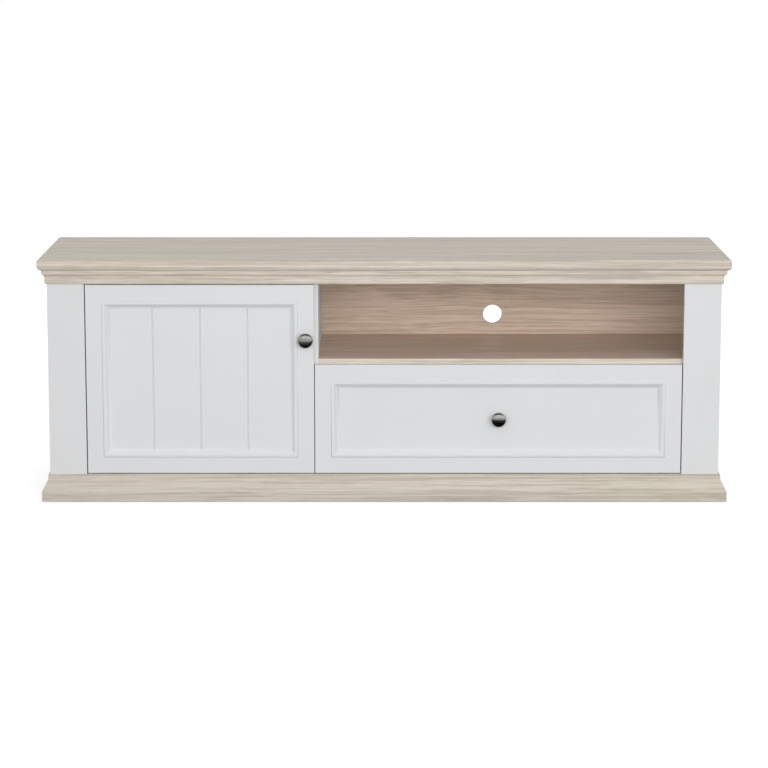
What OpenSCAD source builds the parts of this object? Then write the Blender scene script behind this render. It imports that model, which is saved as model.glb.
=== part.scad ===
// Low media cabinet: a white carcass with one framed door, one wide framed drawer and an open
// niche, dressed with a wood-grain top board, cornice and plinth.
// X runs left to right, the front faces -Y and Z is up. The origin is on the floor, under the
// middle of the whole piece.

/* [Overall] */
// Width of the top board
top_w = 1600; // [1500:10:1700]
// Depth of the top board
top_d = 430; // [420:5:470]
// Height from the floor to the top surface
total_h = 570; // [560:5:600]

/* [Boards] */
// Thickness of the top board
top_t = 25; // [22:1:30]
// Thickness of the carcass boards
board_t = 16; // [15:1:18]
// Thickness of the front boards, stiles and rails
front_t = 18; // [18:1:19]
// Thickness of the thin back panels
back_t = 3; // [3:1:4]
// Width of the pilasters at both ends of the front
pilaster_w = 86; // [80:1:95]
// Distance that the top board stands out past the carcass
top_lip = 20; // [18:1:24]
// Position of the divider's right face, measured from the middle of the piece
divider_x = -153; // [-170:1:-120]
// Height of the niche shelf's upper surface
shelf_z = 334; // [320:1:345]

/* [Mouldings] */
// Height of the cornice under the top board
cornice_h = 33; // [30:1:36]
// Height of the plinth
plinth_h = 64; // [60:1:70]
// Distance that the foot of the plinth stands out past the carcass
plinth_lip = 18.4; // [16:0.2:19]
// Width of the plain part of each stile and rail, outside the moulding
rail_flat = 37; // [36:1:44]
// Width of the moulding that frames a panel
bead_w = 19; // [17:1:20]

/* [Door and drawer] */
// Gap between the door and the pilaster, and under both fronts
gap = 2.4; // [2.4:0.2:4]
// Height of the drawer front
drawer_h = 256; // [250:0.5:258]
// Distance between the grooves of the door panel
plank_w = 110; // [90:5:115]
// Length of the drawer's runners
runner_len = 350; // [300:50:350]
// Diameter of the knobs
knob_d = 35; // [30:1:36]
// Distance that a knob stands out from what it is screwed to
knob_len = 27; // [26:1:30]

/* [Niche] */
// Diameter of the cable hole
cable_d = 46; // [40:1:60]
// Position of the cable hole and of the drawer knob, from the middle of the piece
cable_x = 266; // [200:1:300]
// Height of the cable hole
cable_z = 383; // [370:1:400]

/* [Hidden] */

$fn = 64;
eps = 0.5;
fit = 0.05;

// Finishes
white = [0.87, 0.87, 0.87];
ash = [0.78, 0.72, 0.64];
hardboard = [0.55, 0.42, 0.30];
steel = [0.72, 0.73, 0.75];
dark_nickel = [0.16, 0.16, 0.17];
grey_plastic = [0.45, 0.45, 0.46];

// Front to back: the knobs stand a little in front of the top board
front_set = 1;
knob_proud = knob_len - top_lip - front_set;
top_y = (knob_proud - top_d) / 2;
back_y = top_y + top_d;
face_y = top_y + top_lip;
leaf_y = face_y + front_set;
leaf_back = leaf_y + front_t;
shell_y = leaf_back + 1;
rear_recess = 17;
rear_y = back_y - rear_recess;

// Side to side
half_w = top_w / 2 - top_lip;
inner_w = half_w - board_t;
pilaster_x = half_w - pilaster_w;
divider_left = divider_x - board_t;

// Floor to top
glide_t = 2;
deck_z = plinth_h - board_t;
top_z = total_h - top_t;
ceiling_z = top_z - board_t;
cornice_z = top_z - cornice_h;
shelf_under = shelf_z - board_t;

// Door leaf and drawer leaf: left edge, lower edge, width, height
leaf_z = plinth_h + gap;
leaf_gap = 2;
door_x = -pilaster_x + gap;
door_w = divider_x - 10 - door_x;
door_h = cornice_z - 2 - leaf_z;
drawer_x = door_x + door_w + leaf_gap;
drawer_w = pilaster_x - gap - drawer_x;

// Framed leaf: the rebate for the moulding, the panel behind it and the groove that holds the
// panel. The moulding's back is stepped: its outer part lies in the rebate, its inner part on
// the panel
rebate_depth = 5;
seat_depth = 8;
panel_t = 6;
panel_grip = 10;
panel_play = 0.5;
member_w = rail_flat + bead_w;
groove_w = 4;
groove_depth = 3;
arris = 1.2;

// Drawer box
runner_t = 12.7;
side_t = 12;
box_z = 95;
box_h = 180;
box_len = runner_len;
bottom_t = 4;
bottom_z = box_z + 10;
bottom_grip = 6;
box_left = divider_x + runner_t;
box_right = pilaster_x - runner_t;
runner_z = box_z + box_h / 2;
runner_y = shell_y + 2;

// Hinges: height above the leaf's edges, pin place in the leaf, cup
hinge_inset = 80;
hinge_heights = [leaf_z + hinge_inset, leaf_z + door_h - hinge_inset];
pin_x = 18;
pin_y = 10;
pin_r = 1.5;
cup_x = 21.5;
cup_r = 17.5;
cup_depth = 12.5;
cup_wall = 0.8;
flange_t = 1;
arm_w = 12;
arm_t = 2;
arm_r = 23;
arm_angle = 30;
plate_t = 2.5;
plate_len = 42;

// Screws
screw_r = 2;
head_r = 4;
head_t = 2;

function arc(centre, r, from, to, steps = 8) = [
    for (i = [0:steps])
        let (a = from + (to - from) * i / steps)
            [centre[0] + r * cos(a), centre[1] + r * sin(a)]
];

// Profiles, as [distance out, height] from the bottom up
lower_round = 10;
upper_round = 3;
top_profile = concat(
    arc([-lower_round, top_z + lower_round], lower_round, -90, 0),
    arc([-upper_round, total_h - upper_round], upper_round, 0, 90)
);

cornice_low = 4.4;
cornice_high = 10.8;
cornice_round = 4.2;
cove_from = cornice_z + 14.4;
cove_to = cornice_z + 23.5;
cove_drop = cove_to - cove_from;
cornice_profile = concat(
    [[0, cornice_z]],
    arc([cornice_low - cornice_round, cornice_z + cornice_round], cornice_round, -90, 0),
    [for (i = [0:6]) [cornice_low + (cornice_high - cornice_low) * (1 - cos(15 * i)),
                      cove_from + cove_drop * sin(15 * i)]],
    [[cornice_high, top_z]]
);

plinth_low = 26;
plinth_neck = 53;
plinth_top_lip = 4.4;
plinth_profile = [
    [plinth_lip, glide_t],
    [plinth_lip, plinth_low],
    [plinth_top_lip, plinth_neck],
    [plinth_top_lip, plinth_h - 1],
    [plinth_top_lip - 1, plinth_h]
];

// Moulding of the fronts, as [depth from the leaf's face, distance in from its outer edge]
bead_proud = 2;
bead_slope = 2;
bead_step = bead_w - panel_grip + panel_play;
bead_profile = [
    [rebate_depth, 0], [0, 0], [0.2 - bead_proud, bead_slope], [-bead_proud, bead_slope + 0.8],
    [-bead_proud, 7], [-1.5, 8.4], [-0.5, 9.3], [3.2, 12.8], [6, 16], [7.4, 18.2],
    [seat_depth - 0.2, bead_w], [seat_depth, bead_w],
    [seat_depth, bead_step], [rebate_depth, bead_step]
];

knob_profile = concat(
    [[0, 0], [9, 0], [9, 1.2]],
    arc([11.5, 7.5], 5.5, 250, 180, 5),
    arc([13, 12], 7, 180, 115, 4),
    [[knob_d / 2 - 0.6, knob_len - 8.8]],
    arc([knob_d / 2 - 2, knob_len - 7], 2, -30, 60, 5),
    [for (i = [1:8]) [(knob_d / 2 - 1) * cos(11.25 * i), knob_len - 5.3 + 5.3 * sin(11.25 * i)]]
);

// ---------- helpers ----------

// Box between two opposite corners
module box(lo, hi) {
    translate(lo)
        cube(hi - lo);
}

module along_x(from, to) {
    translate([from, 0, 0])
        rotate([90, 0, 90])
            linear_extrude(to - from)
                children();
}

module along_y(from, to) {
    translate([0, to, 0])
        rotate([90, 0, 0])
            linear_extrude(to - from)
                children();
}

module rod_x(at, r, length) {
    translate(at)
        rotate([0, 90, 0])
            cylinder(r = r, h = length);
}

module rod_y(at, r, length) {
    translate(at)
        rotate([-90, 0, 0])
            cylinder(r = r, h = length);
}

module rod_z(at, r, length) {
    translate(at)
        cylinder(r = r, h = length);
}

// Block from the back of the piece forward, with one profile along its front and both sides
module moulded_block(profile, half, front) {
    low = profile[0][1];
    high = profile[len(profile) - 1][1];
    intersection() {
        along_x(-half - 40, half + 40)
            polygon(concat(
                [for (p = profile) [front - p[0], p[1]]],
                [[back_y, high], [back_y, low]]
            ));
        along_y(front - 40, back_y)
            polygon(concat(
                [for (p = profile) [half + p[0], p[1]]],
                [for (i = [len(profile) - 1:-1:0]) [-half - profile[i][0], profile[i][1]]]
            ));
    }
}

// Strips planted on the carcass, mitred where the front strip meets the side strips
module planted_strips(profile) {
    difference() {
        moulded_block(profile, half_w, face_y);
        box([-half_w, face_y, -eps], [half_w, back_y + eps, total_h]);
    }
}

module front_strip(profile) {
    intersection() {
        planted_strips(profile);
        linear_extrude(total_h)
            polygon([[-half_w, face_y], [half_w, face_y],
                     [half_w + 40, face_y - 40], [-half_w - 40, face_y - 40]]);
    }
}

module right_strip(profile) {
    intersection() {
        planted_strips(profile);
        linear_extrude(total_h)
            polygon([[half_w, face_y], [half_w + 40, face_y - 40],
                     [half_w + 40, back_y], [half_w, back_y]]);
    }
}

module left_strip(profile) {
    mirror([1, 0, 0])
        right_strip(profile);
}

// ---------- top ----------

cam_inset = 34;
cam_r = 7.5;
cam_h = 12;
cam_ys = [shell_y + 45, rear_y - 60];
bolt_r = 3;
bolt_grip = 11;
top_screw_xs = [-600, 0, 600];
top_screw_ys = [shell_y + 30, rear_y - 30];
top_screw_len = 28;

module top_board() {
    color(ash)
        difference() {
            moulded_block(top_profile, top_w / 2, top_y);
            top_screw_holes();
        }
}

module top_screw_holes() {
    for (x = top_screw_xs, y = top_screw_ys) {
        rod_z([x, y, ceiling_z - eps], screw_r + fit, top_screw_len + eps);
        rod_z([x, y, ceiling_z - eps], head_r + fit, head_t + eps);
    }
}

module sub_top() {
    color(white)
        difference() {
            box([-inner_w, face_y + front_t, ceiling_z], [inner_w, rear_y, top_z]);
            top_screw_holes();
            cam_holes(top_z - cam_h - fit, top_z + eps, ceiling_z + board_t / 2);
        }
}

module top_screws() {
    color(steel)
        for (x = top_screw_xs, y = top_screw_ys) {
            rod_z([x, y, ceiling_z], screw_r, top_screw_len);
            rod_z([x, y, ceiling_z], head_r, head_t);
        }
}

module front_rail() {
    color(white)
        box([-half_w, face_y, cornice_z], [half_w, face_y + front_t, top_z]);
}

module cornice_front() {
    color(ash)
        front_strip(cornice_profile);
}

module cornice_left() {
    color(ash)
        left_strip(cornice_profile);
}

module cornice_right() {
    color(ash)
        right_strip(cornice_profile);
}

// ---------- plinth ----------

glide_r = 7.5;
glide_spots = [
    for (side = [-1, 1], y = [face_y + front_t + 25, back_y - 25])
        [side * (half_w - board_t / 2), y],
    for (x = [-400, 400], y = [face_y + front_t / 2, rear_y - board_t / 2])
        [x, y]
];

module plinth_board() {
    color(white)
        box([-half_w, face_y, glide_t], [half_w, face_y + front_t, plinth_h]);
}

// One rail behind, and one from front to back under the divider, with a little play between them
module plinth_rails() {
    play = 0.2;
    color(white) {
        box([-inner_w, rear_y - board_t, glide_t], [inner_w, rear_y, deck_z]);
        box([divider_left, face_y + front_t, glide_t], [divider_x, rear_y - board_t - play, deck_z]);
    }
}

module plinth_front() {
    color(ash)
        front_strip(plinth_profile);
}

module plinth_left() {
    color(ash)
        left_strip(plinth_profile);
}

module plinth_right() {
    color(ash)
        right_strip(plinth_profile);
}

module glides() {
    color(grey_plastic)
        for (spot = glide_spots)
            rod_z([spot[0], spot[1], 0], glide_r, glide_t);
}

// ---------- carcass ----------

// Bores for the cam locks and their bolts in a board whose ends meet the side panels
module cam_holes(from_z, to_z, bolt_z) {
    for (side = [-1, 1], y = cam_ys) {
        rod_z([side * (inner_w - cam_inset), y, from_z], cam_r + fit, to_z - from_z);
        cam_bolt_hole(side, y, bolt_z);
    }
}

module on_side(side) {
    mirror([side < 0 ? 1 : 0, 0, 0])
        children();
}

// The hole runs from the lock's middle, through the joint, into the side panel
module cam_bolt_hole(side, y, z) {
    on_side(side)
        rod_x([inner_w - cam_inset, y, z], bolt_r + fit, cam_inset + bolt_grip + fit);
}

module cam_bolt(side, y, z) {
    tip = cam_inset - cam_r - 0.3;
    on_side(side)
        rod_x([inner_w - tip, y, z], bolt_r, tip + bolt_grip);
}

module side_panel() {
    difference() {
        box([inner_w, face_y + front_t, glide_t], [half_w, back_y, top_z]);
        for (y = cam_ys, z = [deck_z, ceiling_z])
            cam_bolt_hole(1, y, z + board_t / 2);
    }
}

module left_side_panel() {
    color(white)
        mirror([1, 0, 0])
            side_panel();
}

module right_side_panel() {
    color(white)
        side_panel();
}

module right_pilaster() {
    color(white)
        box([pilaster_x, face_y, plinth_h], [half_w, face_y + front_t, cornice_z]);
}

module left_pilaster() {
    mirror([1, 0, 0])
        right_pilaster();
}

module hinge_panel() {
    color(white)
        difference() {
            box([-pilaster_x - board_t, face_y + front_t, plinth_h], [-pilaster_x, rear_y, ceiling_z]);
            shelf_pin_set(fit);
            hinge_plate_screw_set(fit);
        }
}

module runner_panel() {
    color(white)
        difference() {
            box([pilaster_x, face_y + front_t, plinth_h], [pilaster_x + board_t, rear_y, shelf_under]);
            runner_screw_set(fit);
        }
}

module divider_panel() {
    color(white)
        difference() {
            box([divider_left, shell_y, plinth_h], [divider_x, rear_y, ceiling_z]);
            shelf_pin_set(fit);
            runner_screw_set(fit);
        }
}

module bottom_panel() {
    color(white)
        difference() {
            box([-inner_w, face_y + front_t, deck_z], [inner_w, rear_y, plinth_h]);
            cam_holes(deck_z - eps, deck_z + cam_h + fit, deck_z + board_t / 2);
        }
}

module niche_shelf() {
    color(ash)
        box([divider_x, shell_y, shelf_under], [inner_w, rear_y, shelf_z]);
}

module niche_back_panel() {
    color(ash)
        difference() {
            box([divider_x, rear_y - board_t, shelf_z], [inner_w, rear_y, ceiling_z]);
            rod_y([cable_x, rear_y - board_t - eps, cable_z], cable_d / 2, board_t + 2 * eps);
        }
}

module door_back_panel() {
    color(hardboard)
        box([-inner_w, rear_y, deck_z], [divider_x - board_t / 2, rear_y + back_t, ceiling_z]);
}

module drawer_back_panel() {
    color(hardboard)
        box([divider_x - board_t / 2 + eps, rear_y, deck_z],
            [inner_w, rear_y + back_t, shelf_z - board_t / 2]);
}

module cam_locks() {
    color(steel)
        for (side = [-1, 1], y = cam_ys, z = [deck_z, top_z - cam_h])
            rod_z([side * (inner_w - cam_inset), y, z], cam_r, cam_h);
}

module cam_bolts() {
    color(steel)
        for (side = [-1, 1], y = cam_ys, z = [deck_z + board_t / 2, ceiling_z + board_t / 2])
            cam_bolt(side, y, z);
}

// ---------- behind the door ----------

inner_shelf_z = 296;
pin_len = 16;
shelf_pin_r = 2.5;
shelf_pin_ys = [shell_y + 80, rear_y - 60];

module door_shelf() {
    color(white)
        box([-pilaster_x + 1, shell_y + 30, inner_shelf_z],
            [divider_left - 1, rear_y - 1, inner_shelf_z + board_t]);
}

// Four shelf pins, grown by slack where they serve as bores
module shelf_pin_set(slack) {
    for (face = [-pilaster_x, divider_left], y = shelf_pin_ys)
        rod_x([face - pin_len / 2 - slack, y, inner_shelf_z - shelf_pin_r],
              shelf_pin_r + slack, pin_len + 2 * slack);
}

module shelf_pins() {
    color(steel)
        shelf_pin_set(0);
}

catch_w = 45;
catch_x = divider_left - 90;

module magnet_catch() {
    color(white)
        box([catch_x, shell_y + 0.6, ceiling_z - 13], [catch_x + catch_w, shell_y + 18, ceiling_z]);
}

module catch_plate() {
    color(steel)
        box([catch_x + 5, leaf_back, ceiling_z - 33],
            [catch_x + catch_w - 5, leaf_back + 1.2, ceiling_z - 21]);
}

// ---------- framed fronts ----------

// Rebate for the moulding and groove for the panel, cut from the stiles and rails of a leaf
module leaf_rebates(w, h) {
    grip = member_w - panel_grip;
    box([rail_flat, -eps, rail_flat], [w - rail_flat, rebate_depth, h - rail_flat]);
    box([grip, rebate_depth - eps, grip], [w - grip, seat_depth + panel_t, h - grip]);
}

// Small chamfer round the front of a leaf
module leaf_arris(w, h) {
    wedge = [[-eps, -eps], [arris + eps, -eps], [-eps, arris + eps]];
    for (side = [0, 1])
        translate([side * w, 0, -eps])
            mirror([side, 0, 0])
                linear_extrude(h + 2 * eps)
                    polygon(wedge);
    for (top = [0, 1])
        translate([0, 0, top * h])
            mirror([0, 0, top])
                along_x(-eps, w + eps)
                    polygon(wedge);
}

module left_stile(w, h) {
    difference() {
        box([0, 0, 0], [member_w, front_t, h]);
        leaf_rebates(w, h);
        leaf_arris(w, h);
    }
}

module right_stile(w, h) {
    translate([w, 0, 0])
        mirror([1, 0, 0])
            left_stile(w, h);
}

module leaf_rails(w, h) {
    difference() {
        for (z = [0, h - member_w])
            box([member_w, 0, z], [w - member_w, front_t, z + member_w]);
        leaf_rebates(w, h);
        leaf_arris(w, h);
    }
}

module leaf_panel(w, h) {
    edge = member_w - panel_grip + panel_play;
    box([edge, seat_depth, edge], [w - edge, seat_depth + panel_t, h - edge]);
}

// One strip of the moulding along X, its outer edge on the X axis, with mitred ends
module bead_strip(length) {
    hairline = 0.1;
    intersection() {
        along_x(0, length)
            polygon(bead_profile);
        along_y(-front_t, front_t)
            polygon([[hairline, 0], [length - hairline, 0],
                     [length - bead_w - hairline, bead_w], [bead_w + hairline, bead_w]]);
    }
}

module leaf_moulding(w, h) {
    across = w - 2 * rail_flat;
    up = h - 2 * rail_flat;
    translate([rail_flat, 0, rail_flat])
        bead_strip(across);
    translate([rail_flat, 0, h - rail_flat])
        mirror([0, 0, 1])
            bead_strip(across);
    translate([w - rail_flat, 0, rail_flat])
        rotate([0, -90, 0])
            bead_strip(up);
    translate([rail_flat, 0, rail_flat])
        mirror([1, 0, 0])
            rotate([0, -90, 0])
                bead_strip(up);
}

// Mushroom knob on the plane at depth y, standing out towards the front
module knob(x, y, z) {
    color(dark_nickel)
        translate([x, y, z])
            rotate([90, 0, 0])
                difference() {
                    rotate_extrude()
                        polygon(knob_profile);
                    translate([0, 0, -eps])
                        cylinder(r = screw_r + fit, h = 12.2 + eps);
                }
}

// Screw from behind into a knob: its head's back is at y
module knob_screw(x, z, from_y, to_y) {
    rod_y([x, from_y, z], screw_r, to_y - from_y);
    rod_y([x, to_y, z], head_r, head_t);
}

// ---------- door ----------

knob_inset = 19.5;
door_knob_x = door_x + door_w - knob_inset;
door_knob_z = 382;
knob_bite = 12;

module in_door() {
    translate([door_x, leaf_y, leaf_z])
        children();
}

module door_left_stile() {
    color(white)
        difference() {
            in_door()
                left_stile(door_w, door_h);
            for (z = hinge_heights) {
                rod_y([door_x + cup_x, leaf_back - cup_depth, z], cup_r, cup_depth + eps);
                cup_screws(z, fit);
            }
        }
}

module door_right_stile() {
    color(white)
        difference() {
            in_door()
                right_stile(door_w, door_h);
            rod_y([door_knob_x, leaf_y - eps, door_knob_z], screw_r + fit, front_t + 2 * eps);
        }
}

module door_rails() {
    color(white)
        in_door()
            leaf_rails(door_w, door_h);
}

// Tongue-and-groove look: three vee grooves down the panel
module door_panel() {
    color(white)
        in_door()
            difference() {
                leaf_panel(door_w, door_h);
                for (i = [-1:1])
                    translate([door_w / 2 + i * plank_w, 0, 0])
                        linear_extrude(door_h)
                            polygon([[-groove_w / 2, seat_depth], [-groove_w / 2, seat_depth - eps],
                                     [groove_w / 2, seat_depth - eps], [groove_w / 2, seat_depth],
                                     [0, seat_depth + groove_depth]]);
            }
}

module door_moulding() {
    color(white)
        in_door()
            leaf_moulding(door_w, door_h);
}

module door_knob() {
    knob(door_knob_x, leaf_y, door_knob_z);
}

module door_knob_screw() {
    color(steel)
        knob_screw(door_knob_x, door_knob_z, leaf_y - knob_bite, leaf_back);
}

// ---------- hinges ----------

cup_screw_spread = 24;
cup_screw_len = 11;

module cup_screws(z, slack) {
    for (dz = [-cup_screw_spread, cup_screw_spread])
        rod_y([door_x + cup_x, leaf_back + flange_t - cup_screw_len - slack, z + dz],
              screw_r - 0.5 + slack, cup_screw_len + eps);
}

module hinge_cup(z) {
    difference() {
        union() {
            rod_y([door_x + cup_x, leaf_back - cup_depth + fit, z], cup_r - fit, cup_depth);
            rod_y([door_x + cup_x, leaf_back, z], cup_r + 2, flange_t);
            box([door_x + cup_x - 9, leaf_back, z - 31],
                [door_x + cup_x + 9, leaf_back + flange_t, z + 31]);
        }
        rod_y([door_x + cup_x, leaf_back - cup_depth + cup_wall, z],
              cup_r - fit - cup_wall, cup_depth + flange_t);
        rod_z([door_x + pin_x, leaf_y + pin_y, z - cup_r], pin_r + fit, 2 * cup_r);
        for (dz = [-cup_screw_spread, cup_screw_spread])
            rod_y([door_x + cup_x, leaf_back - eps, z + dz], screw_r + fit, flange_t + 2 * eps);
    }
}

module hinge_cups() {
    color(steel)
        for (z = hinge_heights)
            hinge_cup(z);
}

module hinge_pins() {
    half = sqrt(pow(cup_r - fit - cup_wall / 2, 2) - pow(cup_x - pin_x, 2));
    color(steel)
        for (z = hinge_heights)
            rod_z([door_x + pin_x, leaf_y + pin_y, z - half], pin_r, 2 * half);
}

// Goose-neck arm: an eye on the pin, a leg out of the cup, and a bend round the door's edge to
// the foot on the plate
module hinge_arm(z) {
    foot_x = -gap + plate_t - pin_x;
    translate([door_x + pin_x, leaf_y + pin_y, z - arm_w / 2])
        difference() {
            union() {
                cylinder(r = pin_r + 1.7, h = arm_w);
                rotate([0, 0, arm_angle])
                    translate([0, -arm_t / 2, 0])
                        cube([arm_r + arm_t / 2, arm_t, arm_w]);
                rotate([0, 0, arm_angle])
                    rotate_extrude(angle = 90 - arm_angle)
                        translate([arm_r - arm_t / 2, 0])
                            square([arm_t, arm_w]);
                box([foot_x, arm_r - arm_t / 2, 0], [0, arm_r + arm_t / 2, arm_w]);
                box([foot_x, arm_r - arm_t / 2, 0], [foot_x + arm_t, arm_r + plate_len - 8, arm_w]);
            }
            translate([0, 0, -eps])
                cylinder(r = pin_r + fit, h = arm_w + 2 * eps);
            rod_x([foot_x - eps, arm_r + 22, arm_w / 2], screw_r + fit, arm_t + 2 * eps);
        }
}

module hinge_arms() {
    color(steel)
        for (z = hinge_heights)
            hinge_arm(z);
}

// Mounting plate on the hinge panel; its screws go through it at the top and bottom
plate_y = leaf_y + pin_y + arm_r - 3;
plate_screw_spread = 16;
plate_screw_len = 14;

module hinge_plates() {
    color(steel)
        for (z = hinge_heights)
            difference() {
                box([-pilaster_x, plate_y, z - 24], [-pilaster_x + plate_t, plate_y + plate_len, z + 24]);
                plate_screws(z, fit);
            }
}

module plate_screws(z, slack) {
    for (dz = [-plate_screw_spread, plate_screw_spread])
        rod_x([-pilaster_x + plate_t - plate_screw_len - slack, plate_y + 25, z + dz],
              screw_r + slack, plate_screw_len + eps);
    rod_x([-pilaster_x + plate_t - plate_screw_len - slack, plate_y + 25, z],
          screw_r + slack, plate_screw_len + arm_t + eps);
}

module hinge_plate_screw_set(slack) {
    for (z = hinge_heights)
        plate_screws(z, slack);
}

module hinge_plate_screws() {
    color(steel)
        for (z = hinge_heights) {
            plate_screws(z, 0);
            for (dz = [-plate_screw_spread, plate_screw_spread])
                rod_x([-pilaster_x + plate_t, plate_y + 25, z + dz], head_r, head_t);
            rod_x([-pilaster_x + plate_t + arm_t, plate_y + 25, z], head_r, head_t);
        }
}

module hinge_cup_screws() {
    color(steel)
        for (z = hinge_heights) {
            cup_screws(z, 0);
            for (dz = [-cup_screw_spread, cup_screw_spread])
                rod_y([door_x + cup_x, leaf_back + flange_t, z + dz], screw_r + 1.2, 1);
        }
}

// ---------- drawer ----------

drawer_knob_z = leaf_z + drawer_h / 2;
front_screw_zs = [box_z + 25, box_z + box_h - 12];
front_screw_xs = [box_left + side_t + 6, box_right - side_t - 6];
front_screw_bite = 8;

module in_drawer() {
    translate([drawer_x, leaf_y, leaf_z])
        children();
}

module drawer_stiles() {
    color(white)
        difference() {
            in_drawer() {
                left_stile(drawer_w, drawer_h);
                right_stile(drawer_w, drawer_h);
            }
            front_screws(fit);
        }
}

module drawer_rails() {
    color(white)
        in_drawer()
            leaf_rails(drawer_w, drawer_h);
}

module drawer_panel() {
    color(white)
        difference() {
            in_drawer()
                leaf_panel(drawer_w, drawer_h);
            rod_y([cable_x, leaf_y, drawer_knob_z], screw_r + fit, front_t);
        }
}

module drawer_moulding() {
    color(white)
        in_drawer()
            leaf_moulding(drawer_w, drawer_h);
}

module drawer_knob() {
    knob(cable_x, leaf_y + seat_depth, drawer_knob_z);
}

module drawer_knob_screw() {
    color(steel)
        knob_screw(cable_x, drawer_knob_z, leaf_y + seat_depth - knob_bite, leaf_back + side_t);
}

module drawer_box_front() {
    color(white)
        difference() {
            box([box_left + side_t, leaf_back, box_z],
                [box_right - side_t, leaf_back + side_t, box_z + box_h]);
            bottom_blank(fit);
            front_screws(fit);
            rod_y([cable_x, leaf_back - eps, drawer_knob_z], screw_r + fit, side_t + 2 * eps);
        }
}

module drawer_box_back() {
    color(white)
        difference() {
            box([box_left + side_t, leaf_back + box_len - side_t, box_z],
                [box_right - side_t, leaf_back + box_len, box_z + box_h]);
            bottom_blank(fit);
        }
}

module drawer_left_side() {
    color(white)
        difference() {
            box([box_left, leaf_back, box_z], [box_left + side_t, leaf_back + box_len, box_z + box_h]);
            bottom_blank(fit);
            inner_member_screws(fit);
        }
}

module drawer_right_side() {
    color(white)
        difference() {
            box([box_right - side_t, leaf_back, box_z], [box_right, leaf_back + box_len, box_z + box_h]);
            bottom_blank(fit);
            inner_member_screws(fit);
        }
}

// The bottom sits in a groove on all four sides
module bottom_blank(slack) {
    edge = side_t - bottom_grip;
    box([box_left + edge - slack, leaf_back + edge - slack, bottom_z - slack],
        [box_right - edge + slack, leaf_back + box_len - edge + slack, bottom_z + bottom_t + slack]);
}

module drawer_bottom() {
    color(white)
        bottom_blank(0);
}

// Screws from inside the box into the stiles of the drawer front
module front_screws(slack) {
    for (x = front_screw_xs, z = front_screw_zs)
        rod_y([x, leaf_back - front_screw_bite - slack, z], screw_r + slack,
              front_screw_bite + side_t + 2 * slack);
}

module drawer_screws() {
    color(steel) {
        front_screws(0);
        for (x = front_screw_xs, z = front_screw_zs)
            rod_y([x, leaf_back + side_t, z], head_r, head_t);
        inner_member_screws(0);
        for (end = [[box_left, -1], [box_right, 1]], y = runner_screw_ys)
            rod_x([end[0] + (end[1] < 0 ? -2.4 : 1.2), y, runner_z], 3.4, 1.2);
    }
}

// ---------- runners ----------

runner_screw_ys = [runner_y + 35, runner_y + 160, runner_y + runner_len - 40];
member_t = 1.2;
runner_screw_len = 12;

// Channel along Y: web on x = 0, flanges towards +X
module channel(height, depth, from_y, length) {
    translate([0, from_y, runner_z - height / 2])
        difference() {
            cube([depth, length, height]);
            translate([member_t, -eps, member_t])
                cube([depth, length + 2 * eps, height - 2 * member_t]);
        }
}

// Both runners: the left one stands on the divider, the right one is its mirror image
module pair() {
    translate([divider_x, 0, 0])
        children();
    translate([pilaster_x, 0, 0])
        mirror([1, 0, 0])
            children();
}

module runner_outers() {
    color(steel)
        difference() {
            pair()
                channel(45, 9.8, runner_y, runner_len);
            runner_screw_set(fit);
        }
}

module runner_middles() {
    color(steel)
        pair()
            translate([2.6, 0, 0])
                channel(35, 8.4, runner_y + 3, runner_len - 6);
}

module runner_inners() {
    color(steel)
        difference() {
            pair()
                translate([runner_t, 0, 0])
                    mirror([1, 0, 0])
                        channel(25, 7.5, runner_y, runner_len - 6);
            inner_member_screws(fit);
        }
}

// Screws of the outer members, into the divider and the runner panel
module runner_screw_set(slack) {
    for (y = runner_screw_ys)
        pair()
            rod_x([member_t - runner_screw_len - slack, y, runner_z],
                  1.6 + slack, runner_screw_len + slack);
}

module runner_screws() {
    color(steel) {
        runner_screw_set(0);
        for (y = runner_screw_ys)
            pair()
                rod_x([member_t, y, runner_z], 3.4, 0.8);
    }
}

// Screws of the inner members, into the sides of the drawer box
module inner_member_screws(slack) {
    for (y = runner_screw_ys)
        pair()
            rod_x([runner_t - member_t - slack, y, runner_z], 1.6 + slack, 10 + 2 * slack);
}

top_board();
sub_top();
top_screws();
front_rail();
cornice_front();
cornice_left();
cornice_right();
plinth_board();
plinth_rails();
plinth_front();
plinth_left();
plinth_right();
glides();
left_side_panel();
right_side_panel();
left_pilaster();
right_pilaster();
hinge_panel();
runner_panel();
divider_panel();
bottom_panel();
niche_shelf();
niche_back_panel();
door_back_panel();
drawer_back_panel();
cam_locks();
cam_bolts();
door_shelf();
shelf_pins();
door_left_stile();
door_right_stile();
door_rails();
door_panel();
door_moulding();
door_knob();
door_knob_screw();
magnet_catch();
catch_plate();
hinge_cups();
hinge_pins();
hinge_arms();
hinge_plates();
hinge_cup_screws();
hinge_plate_screws();
drawer_stiles();
drawer_rails();
drawer_panel();
drawer_moulding();
drawer_knob();
drawer_knob_screw();
drawer_box_front();
drawer_box_back();
drawer_left_side();
drawer_right_side();
drawer_bottom();
drawer_screws();
runner_outers();
runner_middles();
runner_inners();
runner_screws();
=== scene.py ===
# %% [markdown]
# # A low media cabinet: one door, one wide drawer and an open niche
# The boards, hinges and runners of this cabinet already exist as a CAD model. This lesson loads
# it as a fixed frame, and then makes what a frame lacks: softened edges, turned knobs, mouldings
# that run round a front without a break, wood grain, lacquer and light. Every length is in
# metres, and every piece goes where the frame says.

# %% Load the frame
import math

import bmesh
import bpy
from mathutils import Matrix, Vector


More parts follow.
